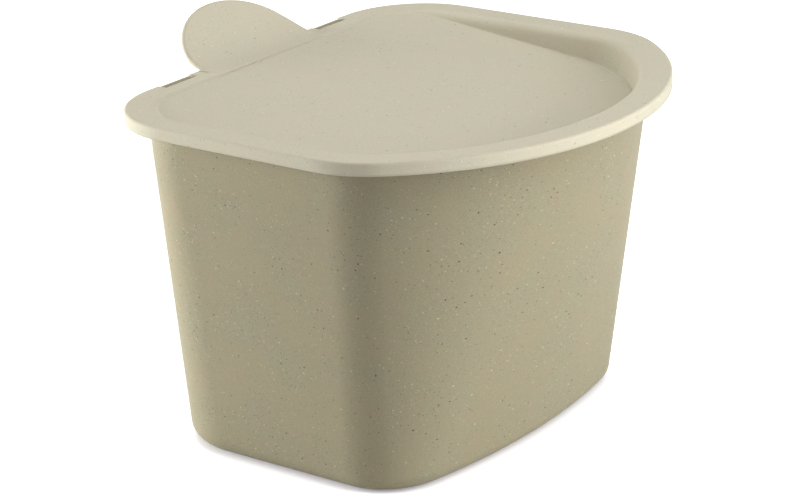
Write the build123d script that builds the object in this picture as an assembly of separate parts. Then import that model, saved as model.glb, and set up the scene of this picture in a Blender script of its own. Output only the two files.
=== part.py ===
from build123d import *
import os
from dataclasses import dataclass, replace
from math import asin, cos, degrees, radians, sin, sqrt, tan

# Kitchen compost bin: a tapered bin and a dished lid that swings on the bin's two back hooks.
# Millimetres. +Z is up, the origin is the middle of the base, and the hinge is on the +Y side.

# Lid in plan, seen from above
lid_width = 265.0
lid_depth = 239.5  # back edge to the middle of the bowed front
lid_bow = 151.5  # radius of the front edge
lid_back_corner = 48.0
lid_front_corner = 56.0

# Base in plan
base_width = 215.0
base_depth = 167.0
base_setback = 13.0  # the lid's back edge stands this far behind the base
base_bow = 395.0
base_back_corner = 43.5
base_front_corner = 35.5

# Heights and walls
lid_height = 185.0  # floor to the top of the lid's rim
wall = 2.2
floor_thickness = 2.6
base_radius = 9.8  # rounding where the walls meet the base
floor_radius = 6.0  # the same inside
rim_thickness = 2.4
rim_rounding = 0.8
lid_overhang = 11.6  # lid edge to the line of the bin's wall, all round

# Lid sections
lid_thickness = 2.4
seat_gap = 0.3  # between the lid's rim and the bin's rim
skirt_height = 6.6  # top of the lid to the skirt's lower edge
skirt_thickness = 2.0
skirt_gap = 1.4  # skirt to the bin's rim
skirt_back_cut = 8.0  # the skirt stops this far in front of the back edge
edge_rounding = 1.0

# Dished middle of the lid
back_flange = 18.5  # dish's back wall to the lid's back edge
roll_radius = 4.5  # rounded edge from the rim into the dish
mouth_clearance = 0.9  # dish to the inside of the bin
floor_step = 0.6  # depth of the dish at its back edge
floor_slope = 6.0  # degrees, falling towards the front
dish_reach = 30.0  # depth of the dish's form before the floor cuts it off

# Thumb tab on the lid's back edge
tab_half_width = 44.5
tab_reach = 36.0  # along the tab, from the level of the rim to its tip
tab_lean = 50.5  # degrees back from upright
tab_rounding = 0.9

# Hinge: hooks on the bin, pins on the lid
hook_spacing = 128.5  # between the middles of the two hooks
hook_width = 22.0
hook_wall = 1.5
hook_below_top = 0.4  # lid's top to the top of the hook
hook_mouth = 2.9  # opening that the pin snaps through
hook_mouth_drop = 35.0  # degrees below level
pin_radius = 1.7
pin_clearance = 0.07
pin_setback = 2.0  # pin's middle to the lid's back edge
notch_side_gap = 1.4  # hook to the side of its notch
notch_front_gap = 1.0
ear_width = 2.0
ear_radius = 3.0
rim_to_pin = 4.0  # bin's rim to the pin's middle

# Places that follow from the sizes
lid_back = base_depth / 2 + base_setback
rim_top = lid_height - lid_thickness - seat_gap
hook_bore = pin_radius + pin_clearance
hook_radius = hook_bore + hook_wall
pin_y = lid_back - pin_setback
pin_z = lid_height - hook_below_top - hook_radius
notch_width = hook_width + 2 * notch_side_gap
notch_front = pin_y - hook_radius - notch_front_gap
floor_back = lid_back - back_flange + roll_radius / 2


@dataclass
class Plan:
    """A D-shaped plan: straight back and sides, bowed front and four round corners."""

    half_width: float
    back: float
    front: float
    bow: float
    back_corner: float
    front_corner: float

    def inset(self, distance, **changes):
        """The same plan drawn this far inside, with any value then set by name."""
        smaller = Plan(
            self.half_width - distance,
            self.back - distance,
            self.front + distance,
            self.bow - distance,
            self.back_corner - distance,
            self.front_corner - distance,
        )
        return replace(smaller, **changes)

    def bow_end(self):
        """The turn, in degrees from straight ahead, where the bow runs into the front corner."""
        corner_x = self.half_width - self.front_corner
        return degrees(asin(corner_x / (self.bow - self.front_corner)))

    def front_point(self, turn):
        """The point of the front that faces this many degrees to the right of straight ahead."""
        way = Vector(sin(radians(turn)), -cos(radians(turn)))
        bow_middle = Vector(0, self.front + self.bow)
        if turn <= self.bow_end():
            return bow_middle + way * self.bow
        end = radians(self.bow_end())
        corner_middle = Vector(sin(end), -cos(end)) * (self.bow - self.front_corner)
        return bow_middle + corner_middle + way * self.front_corner

    def face(self, z, turns=()):
        """The plan as a flat face at this height, its front divided where it faces these turns."""
        turns = [*(turns or [self.bow_end()]), 90]
        right = [self.front_point(turns[0])]
        for low, high in zip(turns, turns[1:]):
            right += [self.front_point((low + high) / 2), self.front_point(high)]
        corner_middle = Vector(self.half_width - self.back_corner, self.back - self.back_corner)
        for way in (Vector(1, 0), Vector(sqrt(0.5), sqrt(0.5)), Vector(0, 1)):
            right.append(corner_middle + way * self.back_corner)
        arcs = [right[i : i + 3] for i in range(0, 2 * len(turns) - 3, 2)] + [right[-3:]]
        line = (right[-4], right[-3])
        left_arcs = [[Vector(-p.X, p.Y) for p in arc] for arc in arcs]
        left_line = [Vector(-p.X, p.Y) for p in line]
        edges = [ThreePointArc(left_arcs[0][0], (0, self.front), right[0])]
        edges += [ThreePointArc(*arc) for arc in arcs[:-1]]
        edges += [Line(*line), ThreePointArc(*arcs[-1])]
        edges += [Line(right[-1], left_arcs[-1][-1])]
        edges += [ThreePointArc(*reversed(left_arcs[-1])), Line(*reversed(left_line))]
        edges += [ThreePointArc(*reversed(arc)) for arc in reversed(left_arcs[:-1])]
        return Pos(0, 0, z) * Face(Wire(edges))


lid_plan = Plan(
    lid_width / 2,
    lid_back,
    lid_back - lid_depth,
    lid_bow,
    lid_back_corner,
    lid_front_corner,
)
base_plan = Plan(
    base_width / 2,
    base_depth / 2,
    -base_depth / 2,
    base_bow,
    base_back_corner,
    base_front_corner,
)
mouth_plan = lid_plan.inset(lid_overhang)


def tapered(inset, low, high, **mouth_changes):
    """The bin's tapered form drawn this far inside its wall, between two heights."""
    turns = sorted((base_plan.bow_end(), mouth_plan.bow_end()))
    base = base_plan.inset(inset).face(0, turns)
    mouth = mouth_plan.inset(inset, **mouth_changes).face(lid_height, turns)
    size = 2 * lid_width
    layer = Pos(0, 0, low) * Box(size, size, high - low, align=(Align.CENTER, Align.CENTER, Align.MIN))
    return loft([base, mouth], ruled=True) & layer


def side_profile(sketch, width):
    """A profile drawn in Y and Z, made this wide about x = 0."""
    return extrude(Plane.YZ * sketch, width / 2, both=True)


def both_hinges(solid):
    """The solid at the middle of the left and of the right hook."""
    return [Pos(side * hook_spacing / 2, 0, 0) * solid for side in (-1, 1)]


def hook():
    """A C-shaped hook that is open to the back, on a block from the bin's wall."""
    ring = Pos(pin_y, pin_z) * Circle(hook_radius)
    block_back = pin_y
    block_front = mouth_plan.back - wall / 2
    block_low = pin_z - hook_radius
    block = Pos(block_front, block_low) * Rectangle(
        block_back - block_front, rim_top - block_low, align=(Align.MIN, Align.MIN)
    )
    bore = Pos(pin_y, pin_z) * Circle(hook_bore)
    slot = Pos(pin_y, pin_z) * Rot(0, 0, -hook_mouth_drop) * Rectangle(
        2 * hook_radius, hook_mouth, align=(Align.MIN, Align.CENTER)
    )
    return side_profile(block + ring - bore - slot, hook_width)


def bin_body():
    outside = tapered(0, 0, rim_top)
    outside = fillet(outside.edges().group_by(Axis.Z)[0], base_radius)
    rim_plan = lid_plan.inset(skirt_thickness + skirt_gap, back=pin_y - rim_to_pin)
    rim = extrude(rim_plan.face(rim_top - rim_thickness), rim_thickness)
    rim_edges = rim.edges().group_by(Axis.Z)
    rim = fillet(rim_edges[0] + rim_edges[-1], rim_rounding)
    inside = tapered(wall, floor_thickness, rim_top)
    inside = fillet(inside.edges().group_by(Axis.Z)[0], floor_radius)
    return outside + rim - inside + both_hinges(hook())


def above_floor(drop):
    """Everything above the sloping floor of the dish, lowered by drop."""
    back_of_floor = Plane(
        origin=(0, floor_back, lid_height - floor_step),
        x_dir=(1, 0, 0),
        z_dir=(0, -sin(radians(floor_slope)), cos(radians(floor_slope))),
    )
    size = 2 * (lid_width + lid_depth)
    return back_of_floor * Pos(0, 0, -drop) * Box(
        size, size, lid_height, align=(Align.CENTER, Align.CENTER, Align.MIN)
    )


def dish_form(thickness, top):
    """The dish's inside, or with a thickness its outside, from below its floor up to this height."""
    inset = wall + mouth_clearance + lid_thickness - thickness
    back = lid_back - back_flange + thickness
    return tapered(inset, lid_height - dish_reach, top, back=back)


def dish_hollow():
    """The inside of the dish, flared out into the top of the rim."""
    form = dish_form(0, lid_height)
    top_edges = form.edges().group_by(Axis.Z)[-1]
    middles = [edge @ 0.5 for edge in top_edges]
    joined = form + extrude(lid_plan.face(lid_height), lid_thickness)
    flare = [
        edge
        for edge in joined.edges()
        if any((edge @ 0.5 - middle).length < 0.01 for middle in middles)
    ]
    return fillet(flare, roll_radius) & above_floor(0)


def thumb_tab():
    """A half-oval tab that sweeps up from the rim and leans back."""
    rise = radians(90 - tab_lean)
    along = Vector(0, cos(rise), sin(rise))
    normal = Vector(0, -sin(rise), cos(rise))
    crossing = Vector(0, lid_back, lid_height)
    sweep_run = crossing.Y - floor_back
    sweep_radius = sweep_run / tan(rise / 2)
    centre = Vector(0, floor_back, lid_height + sweep_radius)

    def on_sweep(radius, turn):
        return centre + Vector(0, radius * sin(turn), -radius * cos(turn))

    tip = crossing + along * (tab_reach + lid_thickness)
    back = -lid_thickness * normal
    outer_radius = sweep_radius + lid_thickness
    front_of_sweep = ThreePointArc(*[on_sweep(sweep_radius, rise * share) for share in (0, 0.5, 1)])
    back_of_sweep = ThreePointArc(*[on_sweep(outer_radius, rise * share) for share in (0, 0.5, 1)])
    profile = Wire(
        [
            front_of_sweep,
            Line(front_of_sweep @ 1, tip),
            Line(tip, tip + back),
            Line(tip + back, back_of_sweep @ 1),
            back_of_sweep,
            Line(back_of_sweep @ 0, front_of_sweep @ 0),
        ]
    )
    plate = extrude(Face(profile), 2 * tab_half_width, dir=(1, 0, 0), both=True)
    oval = Ellipse(tab_half_width, tab_reach) + Rectangle(
        2 * tab_half_width, 2 * sweep_run, align=(Align.CENTER, Align.MAX)
    )
    oval_plane = Plane(origin=crossing, x_dir=(1, 0, 0), z_dir=normal)
    tab = plate & extrude(oval_plane * oval, tab_reach, both=True)
    rounded = [
        edge
        for edge in tab.edges()
        if edge.length > 2 * lid_thickness and abs(edge.tangent_at(0.5).X) < 0.999
    ]
    return fillet(rounded, tab_rounding)


def lid_hinge():
    """The two ears and the pin that stand under one notch."""
    ear_half = pin_setback - tab_rounding
    ear_top = lid_height - lid_thickness
    ear = Pos(pin_y, pin_z) * Circle(ear_radius) + Pos(pin_y, pin_z) * Rectangle(
        2 * min(ear_half, ear_radius), ear_top - pin_z, align=(Align.CENTER, Align.MIN)
    )
    ears = side_profile(ear, notch_width + 2 * ear_width) - side_profile(ear, notch_width)
    pin = side_profile(Pos(pin_y, pin_z) * Circle(pin_radius), notch_width + ear_width)
    return ears + pin


def lid():
    skirt_bottom = lid_height - skirt_height
    shell = extrude(lid_plan.face(skirt_bottom), skirt_height)
    shell = fillet(shell.edges().group_by(Axis.Z)[-1], edge_rounding)
    under_height = skirt_height - lid_thickness
    shell -= extrude(lid_plan.inset(skirt_thickness).face(skirt_bottom), under_height)
    shell -= Pos(0, lid_back - skirt_back_cut, skirt_bottom) * Box(
        lid_width, lid_depth, under_height, align=(Align.CENTER, Align.MIN, Align.MIN)
    )
    shell += dish_form(lid_thickness, lid_height - lid_thickness / 2) & above_floor(lid_thickness)
    shell -= dish_hollow()
    notch = Pos(0, notch_front, lid_height) * Box(
        notch_width, lid_depth, 3 * lid_thickness, align=(Align.CENTER, Align.MIN, Align.CENTER)
    )
    shell -= both_hinges(notch)
    return shell + thumb_tab() + both_hinges(lid_hinge())


PARTS = {"bin_body": bin_body, "lid": lid}

os.makedirs("parts", exist_ok=True)
for name, make in PARTS.items():
    solid = make()
    export_step(solid, f"parts/{name}.step")
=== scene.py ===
import math
from collections import namedtuple

import bpy
from mathutils import Matrix, Vector

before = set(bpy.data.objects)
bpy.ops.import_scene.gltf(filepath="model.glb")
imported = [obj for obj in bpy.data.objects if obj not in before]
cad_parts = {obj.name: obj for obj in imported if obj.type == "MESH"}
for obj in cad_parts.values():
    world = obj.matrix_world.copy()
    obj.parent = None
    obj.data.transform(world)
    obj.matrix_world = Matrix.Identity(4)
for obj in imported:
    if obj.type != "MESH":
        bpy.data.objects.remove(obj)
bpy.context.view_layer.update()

# The camera of the photograph: from the front left, a little above, with a long lens.
CAMERA_PLACE = Vector((-1.13037, -0.85975, 0.60127))
CAMERA_AIM = Vector((-0.00092, -0.00006, 0.08787))
CAMERA_ROLL = math.radians(-2.1982)
CAMERA_LENS = 127.78
CAMERA_RANGE = (0.05, 50)

# The softboxes stand on a sphere about the bin: azimuth and elevation in degrees, and watts.
LIGHT_AIM = Vector((0, 0, 0.1))
LIGHT_DISTANCE = 1.15
SOFTBOX_SIDE = 0.6
SOFTBOXES = {
    "softbox_left_low": (122, 8, 17.8),
    "softbox_left_high": (60, 58, 4.5),
    "softbox_front_high": (252, 58, 4.4),
    "softbox_right": (283, 30, 4.5),
    "softbox_right_low": (281, 8, 8.0),
}

# What the room adds to the softboxes, and the white that the camera and reflections see.
ROOM_LIGHT = 0.02
WHITE = (1, 1, 1, 1)

# The floor: white paper, with a painted contact shadow, where its glow turns grey as ambient
# occlusion finds the foot close by.
FLOOR_HALF_SIDE = 12.0
PAPER = (0.75, 0.75, 0.75, 1)
PAPER_GLOW = 0.92
PAINTED_CONTACT_SHADOW = (0.27, 0.26, 0.28, 1)
PAINTED_SHADOW_REACH = 0.017
PAINTED_SHADOW_OPENNESS = (0.12, 0.92)

# The two plastics in sRGB: the plain body, its cooler and warmer clouds and the flecks in it. The
# light tone also colours the lighter edges, which are partly wear and partly a painted highlight.
PLASTICS = {
    "bin_body": {
        "name": "bin_plastic_speckled", "strength": 1.0,
        "body": (160, 153, 126), "cool": (154, 152, 129), "warm": (165, 151, 128),
        "dark": (84, 70, 48), "tan": (188, 164, 112), "light": (208, 195, 156),
    },
    "lid": {
        "name": "lid_plastic_speckled", "strength": 0.7,
        "body": (202, 196, 175), "cool": (198, 197, 177), "warm": (206, 194, 173),
        "dark": (146, 130, 102), "tan": (206, 188, 150), "light": (230, 222, 198),
    },
}

# What fills both plastics, from dust to chips. Spacing and radius are in metres.
Fleck = namedtuple("Fleck", "tone spacing radius share start length turn strength")
FILLING = [
    Fleck("light", 0.0012, 0.00023, 0.40, 23.5, 1.0, (0, 0, 0), 0.38),
    Fleck("dark", 0.0011, 0.00022, 0.35, 7.7, 1.0, (0, 0, 0), 0.40),
    Fleck("light", 0.0021, 0.00034, 0.38, 31.9, 1.3, (0.8, 0.3, 0.5), 0.62),
    Fleck("dark", 0.0019, 0.00031, 0.40, 43.3, 1.2, (0.2, 0.7, 0.9), 0.65),
    Fleck("tan", 0.0026, 0.00036, 0.50, 11.3, 2.0, (0.5, 0.9, 0.2), 0.75),
    Fleck("light", 0.0036, 0.00040, 0.45, 17.9, 2.2, (0.3, 0.2, 1.1), 0.75),
    Fleck("dark", 0.0030, 0.00040, 0.30, 3.1, 1.7, (1.1, 0.4, 0.6), 0.90),
]

# Sizes, in metres, of what shows in the plastic besides its flecks.
CLOUD = 0.030
DRIFT = 0.011
HAZE = 0.0009
GRAIN = 0.0007
RIPPLE = 0.006
SHEEN_PATCH = 0.004
SOFT_EDGE = 0.0024
BUMP_HEIGHT = 0.0004


class Wire:
    """An output of a shader node. Arithmetic on it adds Math nodes beside that node."""

    def __init__(self, nodes, socket):
        self.nodes = nodes
        self.socket = socket

    def __getitem__(self, name):
        return Wire(self.nodes, self.socket.node.outputs[name])

    def maths(self, operation, other):
        return self.nodes.add("ShaderNodeMath", {"operation": operation}, {0: self, 1: other})

    def __add__(self, other):
        return self.maths("ADD", other)

    def __mul__(self, other):
        return self.maths("MULTIPLY", other)

    def __lt__(self, other):
        return self.maths("LESS_THAN", other)

    def __gt__(self, other):
        return self.maths("GREATER_THAN", other)

    __radd__ = __add__
    __rmul__ = __mul__


class Nodes:
    """The shader nodes of a material or of the world, and the calls that add to them."""

    def __init__(self, owner, output):
        owner.use_nodes = True
        self.owner = owner
        self.tree = owner.node_tree
        self.tree.nodes.clear()
        self.output = self.tree.nodes.new(output)

    def add(self, kind, settings=None, sockets=None, output=0):
        """Add a node: its settings first, then the values or links of its sockets."""
        node = self.tree.nodes.new(kind)
        for name, value in (settings or {}).items():
            setattr(node, name, value)
        for name, value in (sockets or {}).items():
            if isinstance(value, Wire):
                self.tree.links.new(value.socket, node.inputs[name])
            else:
                node.inputs[name].default_value = value
        return Wire(self, node.outputs[output])

    def show(self, shader):
        self.tree.links.new(shader.socket, self.output.inputs["Surface"])
        return self.owner

    def noise(self, place, size, detail=2.0, roughness=0.5):
        """Cloudy noise whose blobs are about this size, in metres."""
        return self.add("ShaderNodeTexNoise", {"noise_dimensions": "3D"},
                        {"Vector": place, "Scale": 1 / size, "Detail": detail,
                         "Roughness": roughness})

    def ramp(self, value, low, high, to_low=0.0, to_high=1.0):
        """Carry low to high smoothly over to to_low to to_high."""
        return self.add("ShaderNodeMapRange", {"interpolation_type": "SMOOTHSTEP"},
                        {"Value": value, "From Min": low, "From Max": high,
                         "To Min": to_low, "To Max": to_high})

    def mix(self, share, first, second):
        """Two colours mixed, with this share of the second."""
        return self.add("ShaderNodeMix", {"data_type": "RGBA"}, {0: share, 6: first, 7: second}, 2)

    def fleck_mask(self, place, crowding, fleck):
        """The mask of one kind of fleck: 1 in a fleck, 0 in the plain plastic around it.

        Space is cut into cells, and the fleck's share of them, more where it is crowded, holds one.
        Long ones are fibres that lie along the turned X axis."""
        across = 1 / fleck.spacing
        at = self.add("ShaderNodeMapping", {"vector_type": "POINT"},
                      {"Vector": place, "Rotation": fleck.turn,
                       "Location": (fleck.start, fleck.start * 0.7, fleck.start * 1.3),
                       "Scale": (across / fleck.length, across, across)})
        cell = self.add("ShaderNodeTexVoronoi", {"voronoi_dimensions": "3D", "feature": "F1"},
                        {"Vector": at, "Scale": 1.0, "Randomness": 1.0})
        lot = self.add("ShaderNodeSeparateColor", {"mode": "RGB"}, {"Color": cell["Color"]})
        reach = (lot["Green"] * 0.8 + 0.6) * (fleck.radius / fleck.spacing)
        inside = self.ramp(cell["Distance"], reach, reach * 0.6)
        return inside * (lot["Red"] < crowding * fleck.share)

    def seen_directly(self):
        """1 for the camera and what shows in a reflection or through glass, 0 for plain light."""
        rays = self.add("ShaderNodeLightPath", output="Is Camera Ray")
        return rays["Is Glossy Ray"] + rays["Is Transmission Ray"] + rays


def linear(colour):
    """An sRGB colour of 0 to 255 as a linear one."""
    def one(value):
        value /= 255
        return value / 12.92 if value <= 0.04045 else ((value + 0.055) / 1.055) ** 2.4
    return (*map(one, colour), 1.0)


def speckled_plastic(name, strength, **tones):
    """Matt moulded plastic filled with plant fibre: mottled, with dark, tan and light flecks."""
    plastic = Nodes(bpy.data.materials.new(name), "ShaderNodeOutputMaterial")
    tones = {tone: linear(colour) for tone, colour in tones.items()}
    place = plastic.add("ShaderNodeTexCoord", output="Object")

    cloud = plastic.ramp(plastic.noise(place, CLOUD, 3.0), 0.35, 0.65)
    drift = plastic.ramp(plastic.noise(place, DRIFT), 0.3, 0.7)
    haze = plastic.ramp(plastic.noise(place, HAZE, 1.0), 0.35, 0.65)
    colour = plastic.mix(cloud * 0.6, tones["body"], tones["cool"])
    colour = plastic.mix(drift * 0.35, colour, tones["warm"])
    colour = plastic.mix(haze * (0.10 * strength), colour, tones["dark"])
    crowding = plastic.ramp(plastic.noise(place, CLOUD, 1.0), 0.35, 0.65, 0.45, 1.55)
    for fleck in FILLING:
        mask = plastic.fleck_mask(place, crowding, fleck)
        colour = plastic.mix(mask * (fleck.strength * strength), colour, tones[fleck.tone])

    # Edges are lighter, partly as rubbed wear and partly as a painted highlight along the lip, and
    # the bevel normal makes their real highlight as soft as a worn edge's.
    soft_edge = plastic.add("ShaderNodeBevel", {"samples": 6}, {"Radius": SOFT_EDGE})
    face = plastic.add("ShaderNodeNewGeometry", output="Normal")
    flatness = plastic.add("ShaderNodeVectorMath", {"operation": "DOT_PRODUCT"},
                           {0: soft_edge, 1: face}, "Value")
    wear_and_painted_highlight = plastic.ramp(flatness, 0.985, 0.84)
    colour = plastic.mix(wear_and_painted_highlight * 0.45, colour, tones["light"])

    height = plastic.noise(place, GRAIN, 3.0, 0.6) * 0.5 + plastic.noise(place, RIPPLE) * 0.6
    normal = plastic.add("ShaderNodeBump", None,
                         {"Strength": 0.12, "Distance": BUMP_HEIGHT, "Height": height,
                          "Normal": soft_edge})
    roughness = plastic.noise(place, SHEEN_PATCH) * 0.12 + 0.50
    return plastic.show(plastic.add("ShaderNodeBsdfPrincipled", None,
                                    {"Base Color": colour, "Roughness": roughness, "Normal": normal,
                                     "IOR": 1.46, "Specular IOR Level": 0.12}))


def dress(node, material):
    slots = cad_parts[node].data.materials
    slots.clear()
    slots.append(material)


def make_camera():
    forward = (CAMERA_AIM - CAMERA_PLACE).normalized()
    level = forward.cross(Vector((0, 0, 1))).normalized()
    upright = level.cross(forward)
    right = level * math.cos(CAMERA_ROLL) + upright * math.sin(CAMERA_ROLL)
    up = upright * math.cos(CAMERA_ROLL) - level * math.sin(CAMERA_ROLL)
    turn = Matrix((right, up, -forward)).transposed().to_4x4()
    data = bpy.data.cameras.new("camera")
    data.lens = CAMERA_LENS
    data.clip_start, data.clip_end = CAMERA_RANGE
    camera = bpy.data.objects.new("camera", data)
    camera.matrix_world = Matrix.Translation(CAMERA_PLACE) @ turn
    bpy.context.scene.collection.objects.link(camera)
    bpy.context.scene.camera = camera


def make_floor():
    """A large sheet of white paper, white to the camera but for a painted shadow, grey in its glow,
    where the bin stands.
    """
    nodes = Nodes(bpy.data.materials.new("studio_floor"), "ShaderNodeOutputMaterial")
    paper = nodes.add("ShaderNodeBsdfDiffuse", None, {"Color": PAPER})
    openness = nodes.add("ShaderNodeAmbientOcclusion", {"samples": 16},
                         {"Distance": PAINTED_SHADOW_REACH}, "AO")
    # Painted contact shadow: the glow's colour is grey where the ambient occlusion near the foot is
    # low, and white elsewhere.
    white = nodes.mix(nodes.ramp(openness, *PAINTED_SHADOW_OPENNESS), PAINTED_CONTACT_SHADOW, WHITE)
    glow = nodes.add("ShaderNodeEmission", None, {"Color": white, "Strength": PAPER_GLOW})
    glowing_paper = nodes.add("ShaderNodeAddShader", None, {0: paper, 1: glow})
    material = nodes.show(nodes.add("ShaderNodeMixShader", None,
                                    {0: nodes.seen_directly(), 1: paper, 2: glowing_paper}))

    half = FLOOR_HALF_SIDE
    mesh = bpy.data.meshes.new("studio_floor")
    mesh.from_pydata([(-half, -half, 0), (half, -half, 0), (half, half, 0), (-half, half, 0)],
                     [], [(0, 1, 2, 3)])
    mesh.materials.append(material)
    floor = bpy.data.objects.new("studio_floor", mesh)
    bpy.context.scene.collection.objects.link(floor)


def make_world():
    """A dim room that looks white to the camera and in reflections."""
    nodes = Nodes(bpy.data.worlds.new("studio"), "ShaderNodeOutputWorld")
    dim = nodes.add("ShaderNodeBackground", None, {"Color": WHITE, "Strength": ROOM_LIGHT})
    white = nodes.add("ShaderNodeBackground", None, {"Color": WHITE, "Strength": 1.0})
    bpy.context.scene.world = nodes.show(nodes.add("ShaderNodeMixShader", None,
                                                   {0: nodes.seen_directly(), 1: dim, 2: white}))


def make_softbox(name, azimuth, elevation, watts):
    turn, rise = math.radians(azimuth), math.radians(elevation)
    way = Vector((math.cos(turn) * math.cos(rise), math.sin(turn) * math.cos(rise), math.sin(rise)))
    data = bpy.data.lights.new(name, "AREA")
    data.shape = "SQUARE"
    data.size = SOFTBOX_SIDE
    data.energy = watts
    lamp = bpy.data.objects.new(name, data)
    lamp.location = LIGHT_AIM + way * LIGHT_DISTANCE
    lamp.rotation_euler = way.to_track_quat("Z", "Y").to_euler()
    bpy.context.scene.collection.objects.link(lamp)


bpy.context.scene.view_settings.view_transform = "Standard"
make_camera()
make_floor()
make_world()
for name, (azimuth, elevation, watts) in SOFTBOXES.items():
    make_softbox(name, azimuth, elevation, watts)
for node, plastic in PLASTICS.items():
    dress(node, speckled_plastic(**plastic))
